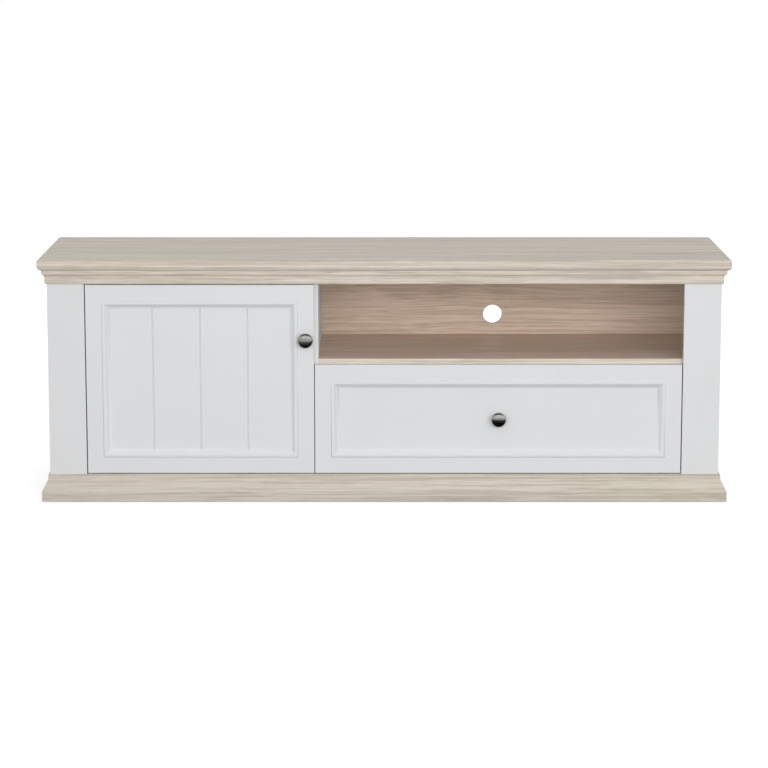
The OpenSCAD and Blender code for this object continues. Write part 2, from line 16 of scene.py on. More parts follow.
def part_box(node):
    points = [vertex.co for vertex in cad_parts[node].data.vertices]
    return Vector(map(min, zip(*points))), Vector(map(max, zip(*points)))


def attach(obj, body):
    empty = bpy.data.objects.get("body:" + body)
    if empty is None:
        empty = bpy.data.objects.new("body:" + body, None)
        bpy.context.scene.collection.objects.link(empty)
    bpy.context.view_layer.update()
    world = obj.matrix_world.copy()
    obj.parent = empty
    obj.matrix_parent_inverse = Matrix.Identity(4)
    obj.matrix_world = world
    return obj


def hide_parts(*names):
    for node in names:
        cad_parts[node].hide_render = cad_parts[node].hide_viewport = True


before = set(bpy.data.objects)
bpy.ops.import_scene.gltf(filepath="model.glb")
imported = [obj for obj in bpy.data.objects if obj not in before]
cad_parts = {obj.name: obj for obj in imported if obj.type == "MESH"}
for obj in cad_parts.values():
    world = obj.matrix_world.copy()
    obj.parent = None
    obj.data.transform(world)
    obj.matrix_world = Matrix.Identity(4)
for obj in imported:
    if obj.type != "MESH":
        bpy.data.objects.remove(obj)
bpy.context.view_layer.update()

MM = 0.001

# %% [markdown]
# ## The camera
# The cabinet is shown nearly square on, from a little above the top board, with a long lens, so
# that its lines stay almost parallel. The camera comes first, because it decides which details
# are worth their geometry.

# %% Camera
camera_data = bpy.data.cameras.new("camera")
camera_data.sensor_width = 36
camera_data.lens = 122.86
camera_data.shift_y = -0.05
camera = bpy.data.objects.new("camera", camera_data)
camera.location = (-0.0005, -6.181, 1.376)
camera.rotation_euler = (math.radians(80.448), 0, 0)
bpy.context.scene.collection.objects.link(camera)
bpy.context.scene.camera = camera
bpy.context.scene.view_settings.view_transform = "Standard"
print("camera:", camera_data.lens, "mm at", tuple(camera.location))

# %% [markdown]
# ## Small helpers for shaders
# Every finish below is a tree of nodes. One helper adds a node, sets its options and fills its
# inputs with a value or a link. Another starts a node group with named inputs and outputs, so
# that an effect such as wood grain is built once and used by every material that needs it.


# %% Shader helpers
def place(tree, kind, inputs=None, **options):
    """Adds a node. Each input gets a value, or a link when a socket is given."""
    node = tree.nodes.new(kind)
    for option, value in options.items():
        setattr(node, option, value)
    for socket, value in (inputs or {}).items():
        if isinstance(value, bpy.types.NodeSocket):
            tree.links.new(value, node.inputs[socket])
        else:
            node.inputs[socket].default_value = value
    return node


def sum_of(tree, operation, first, second, third=None):
    """The output of one Math node."""
    inputs = {0: first, 1: second}
    if third is not None:
        inputs[2] = third
    return place(tree, "ShaderNodeMath", inputs, operation=operation).outputs[0]


def vector_sum(tree, operation, first, second):
    """The output of one Vector Math node."""
    return place(tree, "ShaderNodeVectorMath", {0: first, 1: second}, operation=operation).outputs[0]


def blended(tree, share, first, second, blend="MIX"):
    """A colour between two colours."""
    node = place(tree, "ShaderNodeMix", data_type="RGBA", blend_type=blend)
    for socket, value in (("Factor_Float", share), ("A_Color", first), ("B_Color", second)):
        target = next(s for s in node.inputs if s.identifier == socket)
        if isinstance(value, bpy.types.NodeSocket):
            tree.links.new(value, target)
        else:
            target.default_value = value
    return next(s for s in node.outputs if s.identifier == "Result_Color")


def ranged(tree, value, low, high, to_low, to_high):
    """A value moved from one range to another, held at the ends."""
    return place(tree, "ShaderNodeMapRange", {
        "Value": value, "From Min": low, "From Max": high, "To Min": to_low, "To Max": to_high,
    }).outputs[0]


def shader_group(name, inputs, outputs):
    """An empty node group with named sockets, and its two end nodes."""
    group = bpy.data.node_groups.new(name, "ShaderNodeTree")
    for label, kind, value in inputs:
        socket = group.interface.new_socket(label, in_out="INPUT", socket_type=kind)
        socket.default_value = value
    for label, kind in outputs:
        group.interface.new_socket(label, in_out="OUTPUT", socket_type=kind)
    return group, group.nodes.new("NodeGroupInput"), group.nodes.new("NodeGroupOutput")


# %% [markdown]
# ## The grain of the decor
# The top, cornice, plinth, shelf and niche back carry a pale ash decor: long, fine, slightly wavy
# lines, broader bands that drift between a pinkish and a yellowish beige, and short fibres.
# A real board shows the same lines on its face and its edge, so the pattern is solid: a noise that is
# stretched along the grain, after a slow bend has moved the point sideways. All the decor pieces
# share this group, each with its own shift, so that no two pieces repeat the same lines.

# %% Grain group
grain_group, grain_in, grain_out = shader_group(
    "grain of a planed board",
    [("Along grain", "NodeSocketVector", (0, 0, 0)),
     ("Shift", "NodeSocketFloat", 0.0),
     ("Waviness", "NodeSocketFloat", 0.02)],
    [("Lines", "NodeSocketFloat"), ("Bands", "NodeSocketFloat"),
     ("Fibres", "NodeSocketFloat"), ("Drift", "NodeSocketFloat")],
)


def stretched_noise(tree, point, stretch, detail, roughness=0.5, output=0):
    """Noise along a board: stretch says how many features fit in a metre each way."""
    scaled = vector_sum(tree, "MULTIPLY", point, stretch)
    noise = place(tree, "ShaderNodeTexNoise",
                  {"Vector": scaled, "Scale": 1.0, "Detail": detail, "Roughness": roughness})
    return noise.outputs[output]


shift_vector = place(grain_group, "ShaderNodeCombineXYZ", {
    0: sum_of(grain_group, "MULTIPLY", grain_in.outputs["Shift"], 3.1),
    1: grain_in.outputs["Shift"],
    2: sum_of(grain_group, "MULTIPLY", grain_in.outputs["Shift"], 1.7),
}).outputs[0]
on_board = vector_sum(grain_group, "ADD", grain_in.outputs["Along grain"], shift_vector)

slow_bend = stretched_noise(grain_group, on_board, (1.3, 5.0, 5.0), 1.0, output=1)
quick_bend = stretched_noise(grain_group, on_board, (5.5, 13.0, 13.0), 1.0, output=1)
wave_places = ranged(
    grain_group, stretched_noise(grain_group, on_board, (1.1, 3.0, 3.0), 0.0), 0.5, 0.68, 0.05, 0.55)
quick_bend = place(grain_group, "ShaderNodeVectorMath", {
    0: vector_sum(grain_group, "SUBTRACT", quick_bend, (0.5, 0.5, 0.5)), "Scale": wave_places,
}, operation="SCALE").outputs[0]
bend = vector_sum(
    grain_group, "ADD", vector_sum(grain_group, "SUBTRACT", slow_bend, (0.5, 0.5, 0.5)), quick_bend)
bend = place(grain_group, "ShaderNodeVectorMath",
             {0: bend, "Scale": grain_in.outputs["Waviness"]}, operation="SCALE").outputs[0]
bent = vector_sum(grain_group, "ADD", on_board, vector_sum(grain_group, "MULTIPLY", bend, (0, 1, 1)))

grain_lines = stretched_noise(grain_group, bent, (2.0, 210.0, 210.0), 2.0, 0.6)
grain_bands = stretched_noise(grain_group, bent, (0.8, 18.0, 18.0), 3.0, 0.7)
grain_fibres = stretched_noise(grain_group, bent, (20.0, 430.0, 430.0), 2.0, 0.6)
grain_drift = stretched_noise(grain_group, on_board, (1.4, 2.5, 2.5), 1.0)
for label, made in (("Lines", grain_lines), ("Bands", grain_bands),
                    ("Fibres", grain_fibres), ("Drift", grain_drift)):
    grain_group.links.new(made, grain_out.inputs[label])
print("grain group:", len(grain_group.nodes), "nodes")

# %% [markdown]
# ## The fine texture of lacquer, foil and plastic
# A sprayed or foiled board is never perfectly even: it has a slight orange peel, and its tone
# drifts a little over a hand's width. Both come from one group, used by the white fronts, the
# carcass boards, the hardboard and the metals, with a different size each time.

# %% Fine texture group
skin_group, skin_in, skin_out = shader_group(
    "skin of a coated board",
    [("Point", "NodeSocketVector", (0, 0, 0)),
     ("Peel per metre", "NodeSocketFloat", 900.0),
     ("Clouds per metre", "NodeSocketFloat", 7.0)],
    [("Peel", "NodeSocketFloat"), ("Clouds", "NodeSocketFloat")],
)
skin_peel = place(skin_group, "ShaderNodeTexNoise", {
    "Vector": skin_in.outputs["Point"], "Scale": skin_in.outputs["Peel per metre"],
    "Detail": 2.0, "Roughness": 0.5})
skin_clouds = place(skin_group, "ShaderNodeTexNoise", {
    "Vector": skin_in.outputs["Point"], "Scale": skin_in.outputs["Clouds per metre"],
    "Detail": 3.0, "Roughness": 0.55})
skin_group.links.new(skin_peel.outputs[0], skin_out.inputs["Peel"])
skin_group.links.new(skin_clouds.outputs[0], skin_out.inputs["Clouds"])
print("skin group:", len(skin_group.nodes), "nodes")


# %% [markdown]
# ## Finishes
# Each material holds its own Principled shader. The groups only feed its colour, roughness and
# bump. Everything that is constant, such as the coat of the lacquer, sits on the shader's sockets.


# %% Material helpers
def new_finish(name, roughness=0.5, metallic=0.0, **sockets):
    """An empty material: its tree, its Principled shader and its object coordinates."""
    material = bpy.data.materials.new(name)
    material.use_nodes = True
    tree = material.node_tree
    shader = tree.nodes["Principled BSDF"]
    shader.inputs["Roughness"].default_value = roughness
    shader.inputs["Metallic"].default_value = metallic
    for socket, value in sockets.items():
        shader.inputs[socket.replace("_", " ")].default_value = value
    point = place(tree, "ShaderNodeTexCoord").outputs["Object"]
    return material, tree, shader, point


def tinted(colour, factor):
    """A colour, lighter or darker."""
    return tuple(c * factor for c in colour[:3]) + (1.0,)


def bumped(tree, shader, height, depth, strength=1.0):
    """Feeds a height of the given depth in metres into the shader's normal."""
    bump = place(tree, "ShaderNodeBump", {"Height": height, "Distance": depth, "Strength": strength})
    tree.links.new(bump.outputs[0], shader.inputs["Normal"])


# %% Ash decor
ASH_PALE = (0.778, 0.724, 0.640, 1.0)
ASH_LINE = (0.520, 0.462, 0.382, 1.0)
# The niche colours are the ash decor made warmer and darker: painted shade, standing for the warm light that
# bounces between the wood inside the niche.
NICHE_PALE_PAINTED_SHADE = (0.778, 0.648, 0.543, 1.0)
NICHE_LINE_PAINTED_SHADE = (0.505, 0.397, 0.312, 1.0)
ASH_ROSE = (1.0, 0.968, 0.968, 1.0)
ASH_STRAW = (0.985, 0.972, 0.930, 1.0)


def ash_finish(name, shift, across="x", pale=ASH_PALE, line=ASH_LINE, waviness=0.02, banding=0.12):
    """Ash decor whose grain runs along X, or along Y for the strips at the sides."""
    material, tree, shader, point = new_finish(name, Specular_IOR_Level=0.25)
    if across == "y":
        parts = place(tree, "ShaderNodeSeparateXYZ", {0: point})
        point = place(tree, "ShaderNodeCombineXYZ", {
            0: parts.outputs[1], 1: parts.outputs[0], 2: parts.outputs[2]}).outputs[0]
    grain = place(tree, "ShaderNodeGroup", node_tree=grain_group)
    tree.links.new(point, grain.inputs["Along grain"])
    grain.inputs["Shift"].default_value = shift
    grain.inputs["Waviness"].default_value = waviness
    bands = ranged(tree, grain.outputs["Bands"], 0.36, 0.64, 0.145 - banding, 0.145 + banding)
    lines = ranged(tree, grain.outputs["Lines"], 0.42, 0.60, 0.0, 0.60)
    share = sum_of(tree, "ADD", bands, lines)
    share = sum_of(tree, "MULTIPLY_ADD",
                   ranged(tree, grain.outputs["Fibres"], 0.35, 0.65, -0.5, 0.5), 0.40, share)
    wood = blended(tree, ranged(tree, share, 0.0, 1.1, 0.0, 1.0), pale, line)
    hue = blended(tree, ranged(tree, grain.outputs["Drift"], 0.38, 0.62, 0.0, 1.0), ASH_ROSE, ASH_STRAW)
    tree.links.new(blended(tree, 1.0, wood, hue, "MULTIPLY"), shader.inputs["Base Color"])
    tree.links.new(ranged(tree, share, 0.0, 1.0, 0.46, 0.58), shader.inputs["Roughness"])
    relief = sum_of(tree, "MULTIPLY_ADD", grain.outputs["Lines"], 0.6, grain.outputs["Fibres"])
    bumped(tree, shader, relief, 0.00025, 0.5)
    return material


ash_top = ash_finish("ash decor of the top", 0.0)
# The cornice front gets the ash decor painted 5 % lighter, a painted light copy; the plinth front gets it painted
# about 8 % darker, a painted shade copy.
ash_painted_light = ash_finish("ash decor painted lighter for the cornice and shelf fronts", 1.37, "x", tinted(ASH_PALE, 1.05), tinted(ASH_LINE, 1.03))
ash_plinth_painted_shade = ash_finish("ash decor of the plinth painted darker as shade", 2.91, "x", tinted(ASH_PALE, 0.92), tinted(ASH_LINE, 0.91), 0.03)
ash_sides = ash_finish("ash decor of the side strips", 4.13, across="y")
# The shelf and the niche back take the niche colours, so their warm tone is painted shade.
ash_shelf_painted_shade = ash_finish("ash decor of the shelf with painted niche shade", 5.77, "x", tinted(NICHE_PALE_PAINTED_SHADE, 1.1), tinted(NICHE_LINE_PAINTED_SHADE, 1.1))
ash_niche_painted_shade = ash_finish("ash decor of the niche back with painted niche shade", 7.19, "x", NICHE_PALE_PAINTED_SHADE, NICHE_LINE_PAINTED_SHADE, 0.03, 0.05)
print("ash finishes made")

# %% White lacquer, carcass board and hardboard


def coated_finish(name, colour, roughness, peel, clouds, depth, spread=0.02, **sockets):
    """A coated board: its tone drifts in clouds, and its skin has a fine peel."""
    material, tree, shader, point = new_finish(name, roughness, **sockets)
    skin = place(tree, "ShaderNodeGroup", node_tree=skin_group)
    tree.links.new(point, skin.inputs["Point"])
    skin.inputs["Peel per metre"].default_value = peel
    skin.inputs["Clouds per metre"].default_value = clouds
    drift = ranged(tree, skin.outputs["Clouds"], 0.35, 0.65, 0.0, 1.0)
    base = blended(tree, drift, tinted(colour, 1 - spread), tinted(colour, 1 + spread))
    tree.links.new(base, shader.inputs["Base Color"])
    tree.links.new(
        ranged(tree, skin.outputs["Clouds"], 0.35, 0.65, roughness - 0.03, roughness + 0.03),
        shader.inputs["Roughness"])
    bumped(tree, shader, skin.outputs["Peel"], depth, 0.6)
    return material


white_front = coated_finish(
    "white lacquer of the fronts", (0.800, 0.806, 0.816), 0.42, 700.0, 5.0, 0.00006, 0.006,
    Specular_IOR_Level=0.4)
white_board = coated_finish(
    "white board of the carcass", (0.790, 0.794, 0.800), 0.52, 1500.0, 9.0, 0.00008, 0.010,
    Specular_IOR_Level=0.35)
hardboard = coated_finish(
    "raw side of the hardboard", (0.330, 0.225, 0.140), 0.72, 900.0, 30.0, 0.00025, 0.10)
grey_plastic = coated_finish(
    "grey plastic of the glides", (0.16, 0.16, 0.17), 0.50, 1800.0, 60.0, 0.0001, 0.06)
white_plastic = coated_finish(
    "white plastic of the catch", (0.74, 0.745, 0.74), 0.38, 1400.0, 60.0, 0.00005, 0.02)
print("coated finishes made")


# %% Metals
def metal_finish(name, colour, roughness, scratches, spread=0.08, metallic=1.0):
    """Plated metal: its tone is clouded, and fine polishing marks vary its gloss."""
    material, tree, shader, point = new_finish(name, roughness, metallic)
    skin = place(tree, "ShaderNodeGroup", node_tree=skin_group)
    tree.links.new(point, skin.inputs["Point"])
    skin.inputs["Peel per metre"].default_value = 2600.0
    skin.inputs["Clouds per metre"].default_value = 130.0
    drift = ranged(tree, skin.outputs["Clouds"], 0.35, 0.65, 0.0, 1.0)
    base = blended(tree, drift, tinted(colour, 1 - spread), tinted(colour, 1 + spread))
    tree.links.new(base, shader.inputs["Base Color"])
    tree.links.new(
        ranged(tree, skin.outputs["Peel"], 0.3, 0.7, roughness * 0.8, roughness * 1.25),
        shader.inputs["Roughness"])
    bumped(tree, shader, skin.outputs["Peel"], scratches, 0.4)
    return material


dark_nickel = metal_finish("polished black nickel", (0.40, 0.395, 0.38), 0.10, 0.000002, 0.04)
zinc_steel = metal_finish("zinc plated steel", (0.66, 0.67, 0.69), 0.34, 0.00002, 0.08, 0.6)
print("metals made")

# %% [markdown]
# ## Small helpers for shapes
# The cabinet has few kinds of shapes: boards with softened edges, strips and frames with a
# profile, and turned or bored parts. Each kind gets one helper. They work on a bmesh, because a
# profile is easiest to give as a list of points. The last helper turns a bmesh into a
# piece: it shades the curves smooth, keeps the corners sharp, and ties the piece to the frame.


# %% Shape helpers
def arc(centre, radius, start, end, steps):
    """Points on an arc, in degrees."""
    angles = [math.radians(start + (end - start) * i / steps) for i in range(steps + 1)]
    return [(centre[0] + radius * math.cos(a), centre[1] + radius * math.sin(a)) for a in angles]


def skinned(bm, rows, closed_profile=True, caps=True):
    """Faces between rows of vertices. Each row has one vertex for each point of the profile."""
    for here, there in zip(rows, rows[1:]):
        count = len(here)
        for i in range(count if closed_profile else count - 1):
            j = (i + 1) % count
            bm.faces.new((here[i], here[j], there[j], there[i]))
    if caps:
        bm.faces.new(rows[0])
        bm.faces.new(list(reversed(rows[-1])))


def swept(points_of_rows, closed_path=False):
    """A bmesh skinned over rows of points, as a ring or as a strip with two ends."""
    bm = bmesh.new()
    rows = [[bm.verts.new(p) for p in row] for row in points_of_rows]
    if closed_path:
        skinned(bm, rows + rows[:1], caps=False)
    else:
        skinned(bm, rows)
    bmesh.ops.recalc_face_normals(bm, faces=bm.faces)
    return bm


def turned(profile, base, segments=96):
    """A body turned round the line that runs from base towards the front."""
    rows = []
    for i in range(segments):
        a = 2 * math.pi * i / segments
        rows.append([(r * math.cos(a), -out, r * math.sin(a)) for r, out in profile])
    bm = bmesh.new()
    made = [[bm.verts.new(Vector(p) + Vector(base)) for p in row] for row in rows]
    for here, there in zip(made, made[1:] + made[:1]):
        for i in range(len(profile) - 1):
            bm.faces.new((here[i], here[i + 1], there[i + 1], there[i]))
    bmesh.ops.remove_doubles(bm, verts=bm.verts, dist=1e-7)
    bmesh.ops.dissolve_degenerate(bm, edges=bm.edges, dist=1e-8)
    bmesh.ops.recalc_face_normals(bm, faces=bm.faces)
    return bm


def piece(name, bm, body, material, slot, *nodes, sharp=32):
    """Turns a bmesh into a piece that rides on a body and stands for CAD nodes."""
    mesh = bpy.data.meshes.new(name)
    bm.to_mesh(mesh)
    bm.free()
    for polygon in mesh.polygons:
        polygon.use_smooth = True
    mesh.set_sharp_from_angle(angle=math.radians(sharp))
    made = bpy.data.objects.new(name, mesh)
    bpy.context.scene.collection.objects.link(made)
    made.data.materials.append(material)
    even = made.modifiers.new("even shading", "WEIGHTED_NORMAL")
    even.weight = 100
    even.keep_sharp = True
    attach(made, body)
    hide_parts(*nodes)
    return made


def minus(bm, *cutters):
    """The bmesh with the cutters taken out of it."""
    temporary = []
    for part in (bm, *cutters):
        mesh = bpy.data.meshes.new("blank")
        part.to_mesh(mesh)
        part.free()
        blank = bpy.data.objects.new("blank", mesh)
        bpy.context.scene.collection.objects.link(blank)
        temporary.append(blank)
    blank = temporary[0]
    for cutter in temporary[1:]:
        cut = blank.modifiers.new("cut", "BOOLEAN")
        cut.operation = "DIFFERENCE"
        cut.solver = "EXACT"
        cut.object = cutter
    graph = bpy.context.evaluated_depsgraph_get()
    result = bmesh.new()
    result.from_mesh(blank.evaluated_get(graph).to_mesh())
    for part in temporary:
        mesh = part.data
        bpy.data.objects.remove(part)
        bpy.data.meshes.remove(mesh)
    return result


# %% [markdown]
# ## Boards with softened edges
# Sawn and edged boards have no knife-sharp corners: the edge band is rounded by about a
# millimetre, and that thin round catches the light. A copy of each board keeps its bores from the
# frame, its flat faces are joined again, and only its long edges are rounded.

# %% Softened boards
WHITE_BOARDS = [
    "sub_top", "front_rail", "plinth_board", "plinth_rails", "left_side_panel", "right_side_panel",
    "left_pilaster", "right_pilaster", "hinge_panel", "runner_panel", "divider_panel",
    "bottom_panel", "door_shelf",
]
DRAWER_BOARDS = ["drawer_box_front", "drawer_box_back", "drawer_left_side", "drawer_right_side"]


def softened(node, radius, shortest=9 * MM):
    """A copy of a node with its long edges rounded."""
    bm = bmesh.new()
    bm.from_mesh(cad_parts[node].data)
    bmesh.ops.remove_doubles(bm, verts=bm.verts, dist=0.01 * MM)
    bmesh.ops.dissolve_limit(
        bm, angle_limit=math.radians(0.5), verts=bm.verts, edges=bm.edges)
    long_edges = [
        e for e in bm.edges
        if len(e.link_faces) == 2 and e.calc_length() > shortest
        and e.calc_face_angle_signed() > math.radians(60)
    ]
    bmesh.ops.bevel(
        bm, geom=long_edges, offset=radius, offset_type="OFFSET", segments=3, profile=0.5,
        affect="EDGES", clamp_overlap=True)
    return bm


for node in WHITE_BOARDS:
    piece(node + "_board", softened(node, 0.5 * MM), "cabinet", white_board, "white_board", node)
for node in DRAWER_BOARDS:
    piece(node + "_board", softened(node, 0.8 * MM), "drawer", white_board, "white_board", node)
shelf = piece("niche_shelf_board", softened("niche_shelf", 0.6 * MM), "cabinet", ash_shelf_painted_shade,
              "ash_decor", "niche_shelf")
# The shelf's front edge gets the decor painted lighter, while its top keeps the painted warm shade of the niche.
shelf.data.materials.append(ash_painted_light)
for face in shelf.data.polygons:
    face.material_index = 1 if face.normal.y < -0.5 else 0
print("softened boards:", len(WHITE_BOARDS) + len(DRAWER_BOARDS) + 1)

# %% [markdown]
# ## The top board
# The top is a thick board with a small round on its upper edge and a larger one below, on the
# front and both ends. A stack of rectangles, one for each point of the profile, gives
# the mitred corners for nothing.

# %% Top board
top_low, top_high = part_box("top_board")
UPPER_ROUND = 3 * MM
LOWER_ROUND = 10 * MM
top_profile = (
    arc((-LOWER_ROUND, top_low.z + LOWER_ROUND), LOWER_ROUND, -90, 0, 12)
    + arc((-UPPER_ROUND, top_high.z - UPPER_ROUND), UPPER_ROUND, 0, 90, 6)
)


def board_section(out, z, low, high):
    """The outline of the board at one height: only its back stays in one plane."""
    return [(low.x - out, high.y, z), (low.x - out, low.y - out, z),
            (high.x + out, low.y - out, z), (high.x + out, high.y, z)]


top_bm = swept([board_section(out, z, top_low, top_high) for out, z in top_profile])
top = piece("top_board_rounded", top_bm, "cabinet", ash_top, "ash_decor", "top_board")
top.data.materials.append(ash_sides)
for face in top.data.polygons:
    face.material_index = 1 if abs(face.normal.x) > 0.3 else 0
print("top board:", [round(v, 4) for v in top_high - top_low])

# %% [markdown]
# ## Cornice and plinth
# Both are wrapped strips, planted on the carcass and mitred at the front corners. A profile is a
# list of points, given as distance out from the carcass and height. The front strip ends on the two mitre
# planes, and a side strip runs from its mitre to the back.

# %% Cornice and plinth strips
side_low, side_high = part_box("right_side_panel")
pilaster_low, pilaster_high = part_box("right_pilaster")
carcass_half = side_high.x
carcass_front = pilaster_low.y
carcass_back = side_high.y
cornice_low, cornice_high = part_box("cornice_front")
plinth_low, plinth_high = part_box("plinth_front")


def cornice_profile(z):
    """Quarter round, fillet, cove and square top, from the height z up."""
    cove = [
        ((4.4 + 6.4 * (1 - math.cos(a))) * MM, z + (14.4 + 9.1 * math.sin(a)) * MM)
        for a in (math.radians(90 * i / 12) for i in range(13))
    ]
    foot = arc((0.2 * MM, z + 4.2 * MM), 4.2 * MM, -90, 0, 8)
    return [(0, z)] + foot + cove + [(10.8 * MM, cornice_high.z), (0, cornice_high.z)]


def plinth_profile(z):
    """Upright foot, long slope, short neck with a rounded top."""
    out = carcass_front - plinth_low.y
    foot = arc((out - 0.8 * MM, z + 0.8 * MM), 0.8 * MM, -90, 0, 3)
    knee = [(out, z + 23.4 * MM), (out - 0.15 * MM, z + 24.1 * MM), (out - 0.5 * MM, z + 24.8 * MM)]
    neck = [(4.6 * MM, z + 50.4 * MM), (4.4 * MM, z + 51.2 * MM)]
    crown = arc((3.4 * MM, plinth_high.z - 1 * MM), 1 * MM, 0, 90, 4)
    return [(0, z)] + foot + knee + neck + crown + [(0, plinth_high.z)]


def strip(profile, which):
    """One planted strip: the front one has two mitres, a side one has a mitre and a plain end."""
    side = -1 if which == "left" else 1
    mitre = [(side * (carcass_half + out), carcass_front - out, z) for out, z in profile]
    if which == "front":
        other_end = [(-x, y, z) for x, y, z in mitre]
    else:
        other_end = [(x, carcass_back, z) for x, y, z in mitre]
    return swept([mitre, other_end])


for which in ("front", "left", "right"):
    # The front strips take the decor painted lighter on the cornice and painted darker on the plinth; the side
    # strips keep the plain decor.
    piece("cornice_" + which + "_strip", strip(cornice_profile(cornice_low.z), which), "cabinet",
          ash_painted_light if which == "front" else ash_sides, "ash_decor", "cornice_" + which)
    piece("plinth_" + which + "_strip", strip(plinth_profile(plinth_low.z), which), "cabinet",
          ash_plinth_painted_shade if which == "front" else ash_sides, "ash_decor", "plinth_" + which)
print("strips: 6, lip of the plinth", round(carcass_front - plinth_low.y, 4))

# %% [markdown]
# ## The niche back
# The niche is closed by a decor board with a round hole for cables. Here the short edges of the
# hole's rim are rounded as well, because the bright opening draws the eye to it.

# %% Niche back
niche_back = softened("niche_back_panel", 0.6 * MM, shortest=0)
# The niche back wears the ash decor with the painted warm shade of the niche.
niche_board = piece("niche_back_board", niche_back, "cabinet", ash_niche_painted_shade, "ash_decor", "niche_back_panel")
niche_board.data.materials.append(hardboard)
for face in niche_board.data.polygons:
    face.material_index = 1 if face.normal.y > 0.9 else 0

# %% [markdown]
# ## Thin backs
# The two compartments behind the fronts are closed by hardboard, lacquered white on the side
# that shows inside and left raw behind. One mesh with two materials says that: the faces that
# look to the front get the white one.

# %% Thin backs
for node in ("door_back_panel", "drawer_back_panel"):
    back = piece(node + "_sheet", softened(node, 0.3 * MM), "cabinet", hardboard, "hardboard", node)
    back.data.materials.append(white_board)
    for face in back.data.polygons:
        face.material_index = 1 if face.normal.y < -0.9 else 0
print("thin backs: 2")

# %% [markdown]
# ## Door and drawer front
# Each front is a frame round a recessed panel. It is lacquered in one go, so no joint shows
# between its members: the frame is one ring, swept round a rectangle with mitred corners. The
# moulding is a second ring, with a round bead outside and a hollow towards the panel. The door's
# panel looks like four planks, because three soft grooves are milled into it.

# %% Frame and moulding rings
RAIL_FLAT = 37 * MM
BEAD_WIDTH = 19 * MM
REBATE = 5 * MM
SEAT = 8 * MM
PANEL = 6 * MM
MEMBER = RAIL_FLAT + BEAD_WIDTH
GRIP = 10 * MM


def ring(profile, low, high, face):
    """A closed frame. The profile is in distance in from the outline and depth behind the face."""
    corners = ((0, 0), (1, 0), (1, 1), (0, 1))
    rows = []
    for right, upper in corners:
        rows.append([
            (high.x - inset if right else low.x + inset, face + depth,
             high.z - inset if upper else low.z + inset)
            for inset, depth in profile
        ])
    return swept(rows, closed_path=True)


def frame_profile(thickness):
    """Flat face with a soft arris, rebate of the moulding, groove of the panel, back."""
    outer = [(d * MM, y * MM) for d, y in ((0, 0.7), (0.07, 0.42), (0.22, 0.22), (0.42, 0.07), (0.7, 0))]
    seat = [(RAIL_FLAT, 0), (RAIL_FLAT, REBATE), (MEMBER - GRIP, REBATE),
            (MEMBER - GRIP, SEAT + PANEL), (MEMBER, SEAT + PANEL)]
    back = [(MEMBER, thickness)] + arc((0.6 * MM, thickness - 0.6 * MM), 0.6 * MM, 90, 180, 3)
    return outer + seat + back


def bead_profile():
    """Short slope up from the frame, flat crest, and a long ogee down to the panel."""
    front = [(d * MM, y * MM) for d, y in (
        (0, 0), (2.0, -1.8), (2.4, -1.94), (2.8, -2.0), (7.0, -2.0), (7.8, -1.84), (8.4, -1.5),
        (8.9, -1.05), (9.3, -0.5), (10.4, 0.75), (11.6, 1.95), (12.8, 3.15), (14.4, 4.65),
        (16.0, 6.0), (17.2, 6.85), (18.2, 7.45), (19.0, 7.8))]
    step = BEAD_WIDTH - GRIP + 0.5 * MM
    return [(0, REBATE)] + front + [(BEAD_WIDTH, SEAT), (step, SEAT), (step, REBATE)]


def inner_outline(low, high):
    """The rectangle that the moulding fills."""
    step = Vector((RAIL_FLAT, 0, RAIL_FLAT))
    return low + step, high - step


# %% Outlines of the two fronts
door_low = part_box("door_left_stile")[0]
door_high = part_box("door_right_stile")[1]
drawer_low, drawer_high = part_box("drawer_stiles")
FRONT_T = door_high.y - door_low.y
print("door leaf", [round(v, 4) for v in door_high - door_low],
      "drawer leaf", [round(v, 4) for v in drawer_high - drawer_low])


def bore(centre, radius, front, back):
    """A plain cutter along Y."""
    profile = [(0, back - front), (radius, back - front), (radius, 0), (0, 0)]
    return turned(profile, (centre[0], back, centre[1]), 64)


def parts_of(node):
    """The boxes of the separate solids in one node, as pairs of corners."""
    bm = bmesh.new()
    bm.from_mesh(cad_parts[node].data)
    bmesh.ops.remove_doubles(bm, verts=bm.verts, dist=0.01 * MM)
    left, boxes = set(bm.verts), []
    while left:
        group, queue = [], [left.pop()]
        while queue:
            v = queue.pop()
            group.append(v.co.copy())
            for e in v.link_edges:
                other = e.other_vert(v)
                if other in left:
                    left.remove(other)
                    queue.append(other)
        boxes.append((Vector(map(min, *group)), Vector(map(max, *group))))
    bm.free()
    return sorted(boxes, key=lambda b: (round(b[0].z, 4), round(b[0].x, 4), round(b[0].y, 4)))


# %% Door frame with its hinge bores
cup_boxes = parts_of("hinge_cups")
CUP_DEPTH = 12.5 * MM
door_cutters = []
for low, high in cup_boxes:
    middle = (low + high) / 2
    door_cutters.append(
        bore((middle.x, middle.z), 17.5 * MM, door_high.y - CUP_DEPTH, door_high.y + 1 * MM))
door_frame = minus(ring(frame_profile(FRONT_T), door_low, door_high, door_low.y), *door_cutters)
piece("door_frame", door_frame, "door", white_front, "white_board",
      "door_left_stile", "door_right_stile", "door_rails")
piece("door_bead", ring(bead_profile(), *inner_outline(door_low, door_high), door_low.y),
      "door", white_front, "white_board", "door_moulding", sharp=50)
drawer_frame = ring(frame_profile(FRONT_T), drawer_low, drawer_high, drawer_low.y)
piece("drawer_frame", drawer_frame, "drawer", white_front, "white_board",
      "drawer_stiles", "drawer_rails")
piece("drawer_bead", ring(bead_profile(), *inner_outline(drawer_low, drawer_high), drawer_low.y),
      "drawer", white_front, "white_board", "drawer_moulding", sharp=50)
print("frames and beads: 4, hinge bores:", len(cup_boxes))

# %% Grooved door panel and plain drawer panel
PLANK = 110 * MM
GROOVE_HALF = 2.0 * MM
GROOVE_DEEP = 3.0 * MM


